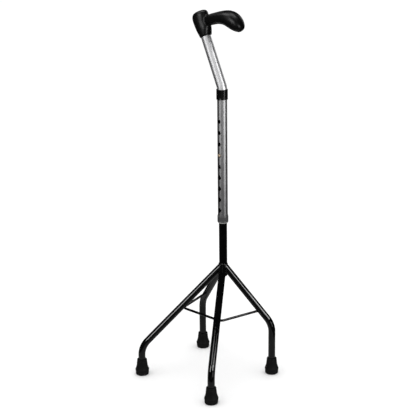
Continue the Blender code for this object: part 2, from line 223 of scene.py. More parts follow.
def added(tree, first, second, operation="ADD"):
    """Two values added, or put through another operation of the Math node."""
    made = tree.nodes.new("ShaderNodeMath")
    made.operation = operation
    for place, value in enumerate((first, second)):
        if isinstance(value, bpy.types.NodeSocket):
            tree.links.new(value, made.inputs[place])
        else:
            made.inputs[place].default_value = value
    return made.outputs[0]


def paint_material(name, along):
    """Black gloss paint on steel tube: slight orange peel, faint dust and lengthwise rubs."""
    made, tree, shader = start_material(name)
    shader.inputs["Specular IOR Level"].default_value = 0.45
    peel = noise(tree, place_on(tree, along), 420.0, 2.0)
    dust = noise(tree, place_on(tree, along), 38.0, 6.0, 0.7)
    rubs = noise(tree, place_on(tree, along, (1400.0, 1400.0, 26.0)), 1.0, 2.0)
    rubbed = ranged(tree, rubs, 0.0, 1.0, 0.66, 0.80)
    dusty = ranged(tree, dust, 0.0, 0.5, 0.50, 0.80)
    marked = added(tree, dusty, added(tree, rubbed, 0.35, "MULTIPLY"))
    colour = blended(tree, marked, (0.0006, 0.0006, 0.0007), (0.0048, 0.0048, 0.0046))
    tree.links.new(colour, shader.inputs["Base Color"])
    tree.links.new(ranged(tree, marked, 0.03, 0.12, 0.0, 0.8), shader.inputs["Roughness"])
    bumped(tree, shader, peel, 0.06, 0.0003)
    return made


def outer_face(tree):
    """1 on a tube's outer face, and 0 in its bore and on the walls of its drilled holes, where the
    painted shade goes.
    """
    flat = place_on(tree, True, (1.0, 1.0, 0.0))
    radius = node(tree, "ShaderNodeVectorMath", {0: flat}, operation="LENGTH").outputs["Value"]
    return ranged(tree, radius, 0.0, 1.0, TUBE_BORE + 0.3 * MM, TUBE_BORE + 0.8 * MM)


def metal_material(name, along, dark, light, smooth, rough, streak=0.25):
    """Drawn or plated metal: fine lengthwise grain, soft cloudy variation and a few long scratches; on
    a tube, a near-black painted shade in its bore and hole walls.
    """
    made, tree, shader = start_material(name, Metallic=1.0)
    grain = noise(tree, place_on(tree, along, (2600.0, 2600.0, 9.0)), 1.0, 3.0, 0.6)
    cloud = noise(tree, place_on(tree, along, (60.0, 60.0, 22.0)), 1.0, 4.0, 0.6)
    scratch = noise(tree, place_on(tree, along, (4200.0, 4200.0, 34.0)), 1.0, 1.0)
    scratched = ranged(tree, scratch, 0.0, 0.30, 0.70, 0.82)
    tone = added(tree, ranged(tree, grain, 0.0, streak), ranged(tree, cloud, 0.0, 1.0 - streak))
    colour = blended(tree, tone, dark, light)
    # painted shade: the bore and the hole walls are coloured near black, as if in shadow
    if along:
        colour = blended(tree, outer_face(tree), BORE_PAINTED_SHADE, colour)
    tree.links.new(colour, shader.inputs["Base Color"])
    worn = added(tree, tone, scratched)
    tree.links.new(ranged(tree, worn, smooth, rough, 0.0, 1.2), shader.inputs["Roughness"])
    bumped(tree, shader, grain, 0.004, 0.00002)
    return made


def plastic_material(name, dark, light, smooth, rough, grain_size, grain_depth, specular=0.5):
    """Moulded plastic: a fine pebbled grain, and a slow drift in tone and gloss."""
    made, tree, shader = start_material(name)
    shader.inputs["Specular IOR Level"].default_value = specular
    place = place_on(tree, False)
    pebble = node(tree, "ShaderNodeTexVoronoi", {"Vector": place, "Scale": 1.0 / grain_size})
    fine = noise(tree, place, 1.6 / grain_size, 2.0)
    drift = noise(tree, place, 45.0, 5.0, 0.65)
    scuff = noise(tree, place, 260.0, 3.0, 0.7)
    tone = added(tree, ranged(tree, drift, 0.0, 0.75), ranged(tree, scuff, 0.0, 0.25, 0.5, 0.8))
    tree.links.new(blended(tree, tone, dark, light), shader.inputs["Base Color"])
    tree.links.new(ranged(tree, tone, smooth, rough, 0.0, 1.0), shader.inputs["Roughness"])
    bumped(tree, shader, added(tree, pebble.outputs["Distance"], fine), 0.35, grain_depth)
    return made


def rubber_material():
    """Black rubber, dusted with grey near the floor and scuffed at its foot."""
    made, tree, shader = start_material("ferrule_rubber")
    shader.inputs["Specular IOR Level"].default_value = 0.15
    place = place_on(tree, False)
    height = node(tree, "ShaderNodeSeparateXYZ", {"Vector": place}).outputs["Z"]
    low = ranged(tree, height, 1.0, 0.0, 0.0, 0.016)
    patches = noise(tree, place, 190.0, 6.0, 0.7)
    specks = noise(tree, place, 1500.0, 3.0, 0.6)
    dusty = added(tree, added(tree, low, 0.45, "MULTIPLY"), ranged(tree, patches, 0.0, 0.5))
    speckled = added(tree, dusty, ranged(tree, specks, 0.0, 0.25, 0.45, 0.75))
    colour = blended(tree, speckled, (0.0006, 0.0006, 0.0007), (0.0055, 0.0053, 0.0049))
    tree.links.new(colour, shader.inputs["Base Color"])
    tree.links.new(ranged(tree, speckled, 0.50, 0.82, 0.0, 1.0), shader.inputs["Roughness"])
    bumped(tree, shader, specks, 0.30, 0.0004)
    return made


# near-black colour painted into tube bores and hole walls as shade
BORE_PAINTED_SHADE = (0.012, 0.012, 0.013)
BLACK_PAINT = paint_material("black_gloss_paint", True)
WELD_PAINT = paint_material("black_gloss_paint_on_weld", False)
BRIGHT_ALUMINIUM = metal_material(
    "bright_drawn_aluminium", True, (0.86, 0.86, 0.875), (0.93, 0.93, 0.945), 0.36, 0.42)
GREY_ANODISED = metal_material(
    "grey_satin_anodised", True, (0.44, 0.44, 0.445), (0.54, 0.54, 0.545), 0.30, 0.37)
BRASS = metal_material("brass", False, (0.88, 0.68, 0.46), (0.96, 0.80, 0.60), 0.46, 0.58)
ZINC = metal_material("zinc_plate", False, (0.50, 0.50, 0.49), (0.66, 0.66, 0.66), 0.28, 0.42)
SPRING_STEEL = metal_material(
    "spring_steel", False, (0.34, 0.34, 0.36), (0.50, 0.50, 0.52), 0.28, 0.40)
COLLAR_BLACK = plastic_material(
    "black_collar_plastic", (0.0006, 0.0006, 0.0007), (0.0020, 0.0020, 0.0021), 0.16, 0.26,
    0.9 * MM, 0.02 * MM)
COLLAR_GREY = plastic_material(
    "grey_collar_plastic", (0.038, 0.038, 0.040), (0.064, 0.064, 0.064), 0.24, 0.36,
    0.7 * MM, 0.03 * MM, 0.7)
HANDLE_PLASTIC = plastic_material(
    "black_handle_plastic", (0.0004, 0.0004, 0.0005), (0.0014, 0.0014, 0.0015), 0.30, 0.40,
    0.8 * MM, 0.03 * MM, 0.6)
NYLON = plastic_material(
    "pale_nylon", (0.30, 0.30, 0.29), (0.42, 0.42, 0.40), 0.34, 0.46, 0.8 * MM, 0.03 * MM)
RUBBER = rubber_material()

# --- mesh helpers ---------------------------------------------------------------------------------

ON_AXIS = 1e-7
SIDE_SHARE = 0.48          # of a side that a rounded corner may take up
NEARLY_STRAIGHT = math.radians(89)


def add_piece(name, bm, finish, body, replaced=(), sharp=38):
    """A finished piece from a bmesh: smooth shaded, riding on its body and standing for CAD nodes."""
    bmesh.ops.recalc_face_normals(bm, faces=bm.faces)
    mesh = bpy.data.meshes.new(name)
    bm.to_mesh(mesh)
    bm.free()
    add_mesh(name, mesh, finish, body, replaced, sharp)


def add_mesh(name, mesh, finish, body, replaced=(), sharp=38):
    """As add_piece, from a mesh; edges sharper than so many degrees stay sharp."""
    mesh.name = name
    mesh.materials.clear()
    mesh.materials.append(finish)
    mesh.shade_smooth()
    mesh.set_sharp_from_angle(angle=math.radians(sharp))
    made = bpy.data.objects.new(name, mesh)
    bpy.context.scene.collection.objects.link(made)
    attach(made, body)
    if replaced:
        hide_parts(*replaced)


def new_bmesh():
    """A bmesh whose vertices also hold their place on the straightened tube or turned piece."""
    bm = bmesh.new()
    bm.verts.layers.float_vector.new("straight")
    return bm


def put(bm, place, straight):
    """A new vertex, with its place on the straightened piece."""
    vert = bm.verts.new(place)
    vert[bm.verts.layers.float_vector["straight"]] = straight
    return vert


def skin(bm, rings, closed=False):
    """Quads between each ring and the next, or a fan where one of the two is a single vertex."""
    following = rings[1:] + rings[:1] if closed else rings[1:]
    for low, high in zip(rings, following):
        count = max(len(low), len(high))
        for n in range(count):
            m = (n + 1) % count
            corners = [low[n % len(low)], low[m % len(low)], high[m % len(high)], high[n % len(high)]]
            corners = [c for k, c in enumerate(corners) if c not in corners[:k]]
            bm.faces.new(corners)


def rounded(points, radius, steps=6, closed=False):
    """A polyline with each corner rounded, by less where its sides are short."""
    points = [Vector(p) for p in points]
    count = len(points)
    made = []
    for n, corner in enumerate(points):
        if not closed and n in (0, count - 1):
            made.append(corner)
            continue
        before, after = points[n - 1] - corner, points[(n + 1) % count] - corner
        half = before.angle(after) / 2
        if half > NEARLY_STRAIGHT:
            made.append(corner)
            continue
        longest = SIDE_SHARE * min(before.length, after.length)
        reach = min(radius / math.tan(half), longest)
        here = reach * math.tan(half)
        towards, away = before.normalized(), after.normalized()
        middle = corner + (towards + away).normalized() * (here / math.sin(half))
        start, end = corner + towards * reach - middle, corner + away * reach - middle
        arc = start.angle(end)
        for k in range(steps + 1):
            part = k / steps
            first = math.sin((1 - part) * arc) / math.sin(arc)
            second = math.sin(part * arc) / math.sin(arc)
            made.append(middle + first * start + second * end)
    return made


def tangents(path, closed=False):
    """The direction of a path at each of its points."""
    if closed:
        ends = zip(path[-1:] + path[:-1], path[1:] + path[:1])
    else:
        ends = zip(path[:1] + path[:-1], path[1:] + path[-1:])
    return [(after - before).normalized() for before, after in ends]


def sweep(bm, path, radii, across, steps):
    """Rings round a path in one plane, whose normal is across."""
    rings, travelled = [], 0.0
    across = Vector(across).normalized()
    for n, (centre, direction, radius) in enumerate(zip(path, tangents(path), radii)):
        if n:
            travelled += (centre - path[n - 1]).length
        normal = direction.cross(across)
        ring = []
        for k in range(steps):
            angle = math.tau * k / steps
            u, v = radius * math.cos(angle), radius * math.sin(angle)
            ring.append(put(bm, centre + u * across + v * normal, (u, v, travelled)))
        rings.append(ring)
    return rings


def hollow(bm, path, radius, bore, across, steps, lip=0.3 * MM):
    """A tube with softly rounded lips at both ends."""
    count = len(path)
    direction = tangents(path)
    start, end = path[0] + direction[0] * lip, path[-1] - direction[-1] * lip
    line = [path[0], start] + path[1:-1] + [end, path[-1]]
    outer = [radius - lip] + [radius] * count + [radius - lip]
    inner = [bore + lip] + [bore] * count + [bore + lip]
    outside = sweep(bm, line, outer, across, steps)
    inside = sweep(bm, line, inner, across, steps)
    skin(bm, outside + inside[::-1], closed=True)


def turn(bm, profile, place=Matrix(), steps=64):
    """A body of revolution. Its profile of (radius, height) closes unless it ends on the axis."""
    rings = []
    for radius, height in profile:
        if radius < ON_AXIS:
            rings.append([put(bm, place @ Vector((0, 0, height)), (0, 0, height))])
            continue
        ring = []
        for k in range(steps):
            angle = math.tau * k / steps
            u, v = radius * math.cos(angle), radius * math.sin(angle)
            ring.append(put(bm, place @ Vector((u, v, height)), (u, v, height)))
        rings.append(ring)
    skin(bm, rings, closed=profile[0][0] >= ON_AXIS)


def rounded_profile(profile, radius, steps=4):
    """A profile in millimetres with rounded corners, as (radius, height) in metres."""
    closed = profile[0][0] > 0
    points = rounded([(r, h, 0) for r, h in profile], radius, steps, closed)
    return [(p[0] * MM, p[1] * MM) for p in points]


def turned_piece(name, profile, finish, body, place, replaced, corner=0.35, steps=72, sharp=38):
    """A finished piece turned from a profile in millimetres, with its corners rounded."""
    bm = new_bmesh()
    turn(bm, rounded_profile(profile, corner), place, steps)
    add_piece(name, bm, finish, body, replaced, sharp)


def evaluated_mesh(thing):
    """The mesh of a throwaway object with its modifiers applied. The object goes."""
    graph = bpy.context.evaluated_depsgraph_get()
    mesh = bpy.data.meshes.new_from_object(thing.evaluated_get(graph))
    bpy.data.objects.remove(thing)
    return mesh


def placed(name, mesh):
    """A new object with a mesh, in the scene."""
    made = bpy.data.objects.new(name, mesh)
    bpy.context.scene.collection.objects.link(made)
    return made


def loose_object(name, bm):
    """An object straight from a bmesh, not yet a piece."""
    mesh = bpy.data.meshes.new(name)
    bm.to_mesh(mesh)
    bm.free()
    return placed(name, mesh)


def freed_mesh(thing):
    """The mesh of a throwaway object. The object goes."""
    mesh = thing.data
    bpy.data.objects.remove(thing)
    return mesh


def cut_out(thing, cutter_bm):
    """Take a cutter's shape out of a throwaway object at once."""
    bmesh.ops.recalc_face_normals(cutter_bm, faces=cutter_bm.faces)
    cutter = loose_object("cutter", cutter_bm)
    modifier = thing.modifiers.new("cut", "BOOLEAN")
    modifier.operation = "DIFFERENCE"
    modifier.solver = "EXACT"
    modifier.object = cutter
    mesh = evaluated_mesh(thing)
    bpy.data.objects.remove(cutter)
    return placed("cut", mesh)


def aimed(origin, direction):
    """A placement whose Z axis points in a direction."""
    turned = Vector(direction).to_track_quat("Z", "Y").to_matrix().to_4x4()
    return Matrix.Translation(origin) @ turned


def round_cutter(bm, radius, start, end, place, steps):
    """A plain round bar that cuts a hole along a placement's Z axis."""
    turn(bm, [(0, start), (radius, start), (radius, end), (0, end)], place, steps)


# --- places ---------------------------------------------------------------------------------------


def stem_point(z, y=0.0):
    """A point by its height and its offset forward of the stem's axis."""
    return Vector((STEM_X, y, z))


NECK_DIRECTION = Vector((0.0, math.sin(NECK_LEAN), math.cos(NECK_LEAN)))
NECK_FRONT = Vector((0.0, math.cos(NECK_LEAN), -math.sin(NECK_LEAN)))
ALONG_STEM = Matrix.Translation(stem_point(0.0))


def neck_point(along, front=0.0):
    """A point by its distance up the leaning neck and its offset forward of the neck's axis."""
    return stem_point(NECK_BEND_Z) + along * NECK_DIRECTION + front * NECK_FRONT


# --- the welded base ------------------------------------------------------------------------------

LEAST_SPLIT = 0.2          # two legs that part more slowly than this have no mitre between them


class Leg:
    """One leg's centre line, and where its upper end meets the stem and its neighbours."""

    def __init__(self, side_x, side_y, bend_z):
        self.top = stem_point(LEG_JUNCTION_Z)
        self.corner = Vector((side_x * FOOT_X, side_y * FOOT_Y, bend_z))
        self.foot = Vector((side_x * FOOT_X, side_y * FOOT_Y, LEG_END_Z))
        self.down = (self.corner - self.top).normalized()
        flat = Vector((self.down.x, self.down.y, 0.0))
        self.across = Vector((-flat.y, flat.x, 0.0)).normalized()
        self.normal = self.down.cross(self.across)

    def offset(self, angle, radius):
        """From the centre line out to the surface at an angle."""
        return radius * (math.cos(angle) * self.across + math.sin(angle) * self.normal)

    def start(self, angle, radius, others):
        """How far down the leg a line along its surface comes clear of the stem and the other legs."""
        off = self.offset(angle, radius).xy
        down = self.down.xy
        a, b, c = down.dot(down), off.dot(down), off.dot(off) - STEM_RADIUS**2
        clear = (-b + math.sqrt(b * b - a * c)) / a
        for other in others:
            apart = (down.normalized() - other.down.xy.normalized()).normalized()
            if apart.dot(down) > LEAST_SPLIT:
                clear = max(clear, -apart.dot(off) / apart.dot(down))
        return clear

    def at_brace(self):
        """The centre line's point at the brace's height."""
        share = (LEG_JUNCTION_Z - BRACE_Z) / (LEG_JUNCTION_Z - self.corner.z)
        return self.top.lerp(self.corner, share)


LEGS = {name: Leg(*sides) for name, sides in FEET.items()}
LEG_STEPS = 56
COPED_LENGTH = 30 * MM
WELD_POINTS = 160
LEG_BEAD_RADIUS = 1.5 * MM
LEG_BEAD_VOXEL = 0.38 * MM
BEAD_SPACING = 0.34 * MM
BEAD_SMOOTHING = 2


def make_leg(name, leg):
    """A bent leg tube, whose upper end is coped to the stem and the neighbouring legs."""
    others = [other for other in LEGS.values() if other is not leg]
    bm = new_bmesh()
    clear_of_joint = leg.top + leg.down * COPED_LENGTH
    line = rounded([clear_of_joint, leg.corner, leg.foot], LEG_BEND_RADIUS, 20)
    line.insert(1, clear_of_joint.lerp(line[1], 0.5))
    walls = []
    for radius in (LEG_RADIUS, LEG_BORE):
        rings = sweep(bm, line, [radius] * len(line), leg.across, LEG_STEPS)
        coped = []
        for k in range(LEG_STEPS):
            angle = math.tau * k / LEG_STEPS
            far = leg.start(angle, radius, others)
            place = leg.top + leg.down * far + leg.offset(angle, radius)
            coped.append(put(bm, place, (*(leg.offset(angle, radius).xy), far - COPED_LENGTH)))
        walls.append([coped] + rings)
    skin(bm, walls[0] + walls[1][::-1], closed=True)
    add_piece("leg_tube_" + name, bm, BLACK_PAINT, "base", ["leg_" + name])


def bead(bm, path, radius, closed, sides=10, pitch=1.7 * MM, depth=0.16):
    """A rippled weld bead along a path."""
    spaced = resampled(path, BEAD_SPACING, closed)
    directions = tangents(spaced, closed)
    side = directions[0].orthogonal()
    rings, travelled = [], 0.0
    for n, (centre, direction) in enumerate(zip(spaced, directions)):
        if n:
            travelled += (centre - spaced[n - 1]).length
        side = (side - side.dot(direction) * direction).normalized()
        up = direction.cross(side)
        size = radius * (1 + depth * (abs(math.sin(math.pi * travelled / pitch)) - 0.5))
        rings.append([
            put(bm, centre + size * (math.cos(a) * side + math.sin(a) * up), (0, 0, travelled))
            for a in (math.tau * k / sides for k in range(sides))
        ])
    skin(bm, rings, closed)
    if not closed:
        bm.faces.new(rings[0])
        bm.faces.new(rings[-1][::-1])


def resampled(path, spacing, closed):
    """Points at an even spacing along a path."""
    points = list(path) + ([path[0]] if closed else [])
    lengths = [(b - a).length for a, b in zip(points, points[1:])]
    total = sum(lengths)
    count = max(4, round(total / spacing))
    made, walked, n = [], 0.0, 0
    for k in range(count if closed else count + 1):
        target = total * k / count
        while n < len(lengths) - 1 and walked + lengths[n] < target:
            walked += lengths[n]
            n += 1
        share = (target - walked) / lengths[n] if lengths[n] else 0.0
        made.append(points[n].lerp(points[n + 1], share))
    return made


def remeshed(bm, voxel, smoothing):
    """One clean skin round overlapping closed shapes, as a throwaway object."""
    bmesh.ops.recalc_face_normals(bm, faces=bm.faces)
    thing = loose_object("remesh", bm)
    remesh = thing.modifiers.new("remesh", "REMESH")
    remesh.mode = "VOXEL"
    remesh.voxel_size = voxel
    smooth = thing.modifiers.new("smooth", "SMOOTH")
    smooth.factor = 0.5
    smooth.iterations = smoothing
    return thing


def make_leg_welds():
    """The beads that run round each leg where it meets the stem and the next legs."""
    bm = new_bmesh()
    for leg in LEGS.values():
        others = [other for other in LEGS.values() if other is not leg]
        loop = []
        for k in range(WELD_POINTS):
            angle = math.tau * k / WELD_POINTS
            far = leg.start(angle, LEG_RADIUS, others)
            loop.append(leg.top + leg.down * far + leg.offset(angle, LEG_RADIUS))
        bead(bm, loop, LEG_BEAD_RADIUS, True)
    mesh = evaluated_mesh(remeshed(bm, LEG_BEAD_VOXEL, BEAD_SMOOTHING))
    add_mesh("leg_weld_beads", mesh, WELD_PAINT, "base", sharp=80)


BRACE_END_GAP = 0.1 * MM
BRACE_WELD_POINTS = 60
BRACE_BEAD_RADIUS = 1.0 * MM
CROSSING_BEAD_RADIUS = 1.15 * MM
CROSSING_BEAD_REACH = 3.2 * MM
CROSSING_BEAD_LIFT = 1.5 * MM
BRACE_BEAD_VOXEL = 0.32 * MM


def brace_line():
    """The brace's corners and ends, as in the CAD but run on to the inner legs' surface."""
    corners, ends = [], []
    for side in ("front", "rear"):
        outer, inner = LEGS[side + "_outer"], LEGS[side + "_inner"]
        inward = 1 if side == "front" else -1
        shift = Vector((BRACE_CORNER_OFFSET[0], inward * BRACE_CORNER_OFFSET[1], 0.0))
        corners.append(outer.at_brace() + shift)
        start = inner.at_brace()
        ends.append(start + (LEG_RADIUS + BRACE_END_GAP) * (corners[-1] - start).normalized())
    return [ends[0], corners[0], corners[1], ends[1]]


def make_brace():
    """The bent brace rod, with the weld beads at its ends and where it crosses the outer legs."""
    points = brace_line()
    line = rounded(points, BRACE_CORNER_RADIUS, 16)
    bm = new_bmesh()
    rings = sweep(bm, line, [BRACE_RADIUS] * len(line), (0, 0, 1), 28)
    skin(bm, rings)
    bm.faces.new(rings[0])
    bm.faces.new(rings[-1][::-1])
    add_piece("brace_bar", bm, BLACK_PAINT, "base", ["brace_rod"])

    welds = new_bmesh()
    for end, inward in ((points[0], points[1]), (points[3], points[2])):
        direction = (inward - end).normalized()
        side = direction.cross(Vector((0, 0, 1)))
        ring = []
        for k in range(BRACE_WELD_POINTS):
            angle = math.tau * k / BRACE_WELD_POINTS
            out = BRACE_RADIUS * (math.cos(angle) * side + math.sin(angle) * Vector((0, 0, 1)))
            back = LEG_RADIUS - math.sqrt(LEG_RADIUS**2 - (BRACE_RADIUS * math.cos(angle)) ** 2)
            ring.append(end + out - direction * back)
        bead(welds, ring, BRACE_BEAD_RADIUS, True)
    for name in ("front_outer", "rear_outer"):
        leg = LEGS[name]
        nearest = min(line, key=lambda point: (point - leg.at_brace()).cross(leg.down).length)
        on_axis = leg.top + leg.down * (nearest - leg.top).dot(leg.down)
        touch = on_axis.lerp(nearest, LEG_RADIUS / (nearest - on_axis).length)
        index = line.index(nearest)
        along = (line[index + 1] - line[index - 1]).normalized()
        reach = along * CROSSING_BEAD_REACH
        for lift in (CROSSING_BEAD_LIFT, -CROSSING_BEAD_LIFT):
            spot = touch + Vector((0, 0, lift))
            bead(welds, [spot - reach, spot, spot + reach], CROSSING_BEAD_RADIUS, False)
    mesh = evaluated_mesh(remeshed(welds, BRACE_BEAD_VOXEL, BEAD_SMOOTHING))
    add_mesh("brace_weld_beads", mesh, WELD_PAINT, "base", sharp=80)


def straight_path(low, high, rows):
    """Evenly spaced points up the stem's axis."""
    return [stem_point(low + (high - low) * n / rows) for n in range(rows + 1)]


def make_stem():
    """The stem with the button's hole on its outer side, and the plug in its foot."""
    bm = new_bmesh()
    path = straight_path(STEM_LOW.z, STEM_HIGH.z, 24)
    hollow(bm, path, STEM_RADIUS, STEM_BORE, (0, 1, 0), 72)
    cutter = new_bmesh()
    round_cutter(cutter, HOLE_RADIUS, -CUTTER_REACH, 0, aimed(stem_point(BUTTON_Z), (1, 0, 0)), 48)
    mesh = freed_mesh(cut_out(loose_object("stem", bm), cutter))
    add_mesh("stem_tube", mesh, BLACK_PAINT, "base", ["stem"])

    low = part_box("stem_end_plug")[0].z
    plug = [(0, 1.4), (2.2, 1.3), (2.6, 0.6), (4.6, 0.3), (7.0, 0.0), (8.6, 1.0), (9.0, 2.2),
            (9.0, 3.4), (7.4, 3.4), (7.4, 13.1), (6.6, 13.1), (6.6, 4.4), (0, 4.4)]
    turned_piece("stem_foot_plug", plug, COLLAR_BLACK, "base",
                 Matrix.Translation(stem_point(low)), ["stem_end_plug"])


# (radius, height) in mm, from the tread up the outside and down into the bore
FERRULE_PROFILE = [
    (0, 1.6), (3.4, 1.6), (3.9, 0.9), (4.7, 0.9), (5.2, 1.6), (6.2, 1.6), (6.7, 0.3), (7.6, 0.3),
    (8.1, 1.6), (9.1, 1.6), (9.6, 0.0), (10.5, 0.0), (11.0, 1.4), (11.8, 1.4), (12.3, 0.0), (13.4, 0.0),
    (14.7, 1.2), (15.1, 3.0), (14.75, 3.5), (14.75, 4.1), (15.15, 4.6), (15.15, 6.2), (14.8, 6.7),
    (14.8, 7.3), (15.2, 7.8), (15.2, 9.6), (15.75, 10.7), (15.8, 12.6), (15.0, 14.2), (13.7, 18.0),
    (12.6, 22.4), (12.05, 27.5), (11.55, 32.2), (11.1, 32.7), (11.1, 33.3), (11.45, 33.9),
    (11.25, 36.2), (10.7, 37.1), (9.7, 37.4), (8.7, 37.2), (8.3, 36.4), (8.3, 12.0), (0, 12.0),
]


def make_ferrules():
    """The rubber boots, with ribs, a waist and ringed treads."""
    for name, leg in LEGS.items():
        place = Matrix.Translation(Vector((leg.foot.x, leg.foot.y, 0.0)))
        turned_piece("ferrule_boot_" + name, FERRULE_PROFILE, RUBBER, "base", place,
                     ["ferrule_" + name], corner=0.6, steps=96, sharp=60)


# --- the button -----------------------------------------------------------------------------------


def make_button():
    """The domed pin. The profile is (radius, distance from the stem's axis) in mm."""
    profile = [(0, 6.0), (3.4, 6.0), (3.6, 6.2), (3.6, 11.9), (3.4, 12.5), (2.9, 12.95), (2.1, 13.25),
               (1.1, 13.38), (0, 13.4)]
    outward = aimed(stem_point(BUTTON_Z), (-1, 0, 0))
    turned_piece("snap_button_pin", profile, BRASS, "button", outward,
                 ["snap_button"], corner=0.8, steps=48, sharp=60)


# --- the upper section ----------------------------------------------------------------------------


def make_height_tube():
    """The grey tube, with its row of adjustment holes and the rivet's cross hole."""
    bm = new_bmesh()
    path = straight_path(TUBE_LOW.z, TUBE_HIGH.z, 132)
    hollow(bm, path, TUBE_RADIUS, TUBE_BORE, (0, 1, 0), 96)
    cutter = new_bmesh()
    for n in range(HOLE_COUNT):
        place = aimed(stem_point(TOP_HOLE_Z - n * HOLE_PITCH), (-1, 0, 0))
        round_cutter(cutter, HOLE_RADIUS, 0, CUTTER_REACH, place, 48)
    place = aimed(stem_point(RIVET_Z), (1, 0, 0))
    round_cutter(cutter, RIVET_HOLE_RADIUS, -CUTTER_REACH, CUTTER_REACH, place, 32)
    mesh = freed_mesh(cut_out(loose_object("height_tube", bm), cutter))
    add_mesh("drilled_height_tube", mesh, GREY_ANODISED, "upper_section",
             ["height_tube"])


def make_neck():
    """The swan-neck tube, from its narrowed spigot in the height tube to its end in the handle."""
    bm = new_bmesh()
    spigot = [stem_point(SPIGOT_LOW), stem_point(SPIGOT_HIGH)]
    shoulder = stem_point(SPIGOT_HIGH + SPIGOT_SHOULDER)
    corners = [shoulder, stem_point(NECK_BEND_Z), neck_point(NECK_LENGTH)]
    bend = rounded(corners, NECK_BEND_RADIUS, 28)
    last = bend.pop()
    rows = 12
    bend += [bend[-1].lerp(last, row / rows) for row in range(1, rows + 1)]
    line = spigot + bend
    outer = [SPIGOT_RADIUS] * 2 + [TUBE_RADIUS] * len(bend)
    inner = [SPIGOT_BORE] * 2 + [TUBE_BORE] * len(bend)
    outside = sweep(bm, line, outer, (1, 0, 0), 96)
    inside = sweep(bm, line, inner, (1, 0, 0), 96)
    skin(bm, outside + inside[::-1], closed=True)
    add_piece("swan_neck_tube", bm, BRIGHT_ALUMINIUM, "upper_section",
              ["neck_tube"])


def make_collars():
    """The rings round the stem's axis. Each profile is (radius, height) in mm."""
    upper = [(11.75, 633.8), (12.4, 633.8), (12.8, 634.5), (12.8, 635.9), (12.6, 636.3), (12.6, 653.6),
             (12.8, 654.0), (12.8, 655.6), (12.3, 656.2), (11.75, 656.2)]
    turned_piece("upper_collar_ring", upper, COLLAR_BLACK, "upper_section", ALONG_STEM,
                 ["upper_collar"], corner=0.4, steps=96, sharp=60)
    lower = [(11.4, 354.3), (12.0, 354.3), (12.4, 355.1), (12.4, 357.2), (12.15, 357.6), (12.15, 358.2),
             (12.4, 358.6), (12.4, 366.6), (12.0, 368.9), (11.55, 370.4), (11.4, 370.6)]
    turned_piece("lower_collar_ring", lower, COLLAR_GREY, "upper_section", ALONG_STEM,
                 ["lower_collar"], corner=0.5, steps=96, sharp=60)
    sleeve = [(9.5, 352.4), (11.4, 352.4), (11.9, 352.9), (11.9, 354.0), (11.1, 354.0), (11.1, 361.7),
              (9.5, 361.7)]
    turned_piece("guide_sleeve_ring", sleeve, NYLON, "upper_section", ALONG_STEM,
                 ["guide_sleeve"], corner=0.25, steps=96, sharp=60)


# boss stations: (distance up the neck, forward offset, half size forward, half size sideways) in mm
BOSS_STATIONS = [
    (115.8, -0.8, 13.0, 12.4),
    (117.2, -0.8, 14.0, 12.9),
    (122.0, -1.4, 15.7, 13.4),
    (132.0, -2.0, 19.2, 14.0),
    (145.0, -1.4, 20.1, 14.5),
    (157.0, -2.2, 21.4, 14.7),
    (164.5, -3.2, 20.4, 14.3),
    (169.2, -3.7, 16.4, 12.3),
    (171.3, -4.2, 10.2, 8.2),
]
# grip stations: (forward of the stem, height, half height, half width) in mm
GRIP_STATIONS = [
    (56.0, 796.5, 10.8, 5.6),
    (45.0, 800.0, 11.6, 8.0),
    (33.0, 803.4, 12.1, 10.9),
    (11.0, 809.0, 12.8, 15.0),
    (-7.5, 811.4, 14.9, 16.8),
    (-21.0, 810.8, 16.95, 17.4),
    (-33.0, 807.0, 17.8, 17.2),
    (-43.5, 800.5, 16.1, 15.8),
    (-51.5, 793.8, 12.1, 12.2),
    (-56.0, 788.8, 7.2, 7.2),
]
BOSS_POWER = 2.0           # 2 is an ellipse, and more is squarer
GRIP_POWER = 2.25
STATION_PARTS = 6
HANDLE_VOXEL = 0.85 * MM
HANDLE_SMOOTHING = 3
CREASE_REACH = 8.0 * MM
CREASE_SMOOTHING = 60
SOCKET_CUTTER_START = SOCKET_RIM - 10 * MM
RECESS_END = 26 * MM


def between(a, b, c, d, t):
    """The value a share t of the way from b to c on a smooth curve that also passes a and d."""
    slope = c - a
    bend = 2 * a - 5 * b + 4 * c - d
    twist = 3 * b - a - 3 * c + d
    return 0.5 * (2 * b + slope * t + bend * t**2 + twist * t**3)


def curved(stations, parts):
    """More stations between the given ones, along smooth curves through them."""
    made = []
    last = len(stations) - 1
    for n in range(last):
        around = [stations[min(max(n + k, 0), last)] for k in (-1, 0, 1, 2)]
        for k in range(parts):
            made.append(tuple(between(*four, k / parts) for four in zip(*around)))
    made.append(stations[-1])
    return made


def loft(bm, sections, power, steps=72):
    """A closed shape through sections: (centre, sideways, upward, half sideways, half upward)."""
    rings = []
    for centre, sideways, upward, half_side, half_up in sections:
        ring = []
        for k in range(steps):
            angle = math.tau * k / steps
            c, s = math.cos(angle), math.sin(angle)
            u = math.copysign(abs(c) ** (2 / power), c) * half_side
            v = math.copysign(abs(s) ** (2 / power), s) * half_up
            place = centre + u * sideways + v * upward
            ring.append(put(bm, place, place))
        rings.append(ring)
    skin(bm, rings)
    bm.faces.new(rings[0])
    bm.faces.new(rings[-1][::-1])


def boss_sections():
    """The upright boss's sections, across the neck."""
    for along, offset, half_front, half_side in curved(BOSS_STATIONS, STATION_PARTS):
        centre = neck_point(along * MM, offset * MM)
        yield centre, Vector((1, 0, 0)), NECK_FRONT, half_side * MM, half_front * MM


def grip_sections():
    """The palm rest's sections, across its bowed spine."""
    stations = curved(GRIP_STATIONS, STATION_PARTS)
    spine = [stem_point(height * MM, forward * MM) for forward, height, _, _ in stations]
    sideways = Vector((1, 0, 0))
    for centre, direction, (_, _, half_height, half_width) in zip(spine, tangents(spine), stations):
        yield centre, sideways, direction.cross(sideways), half_width * MM, half_height * MM


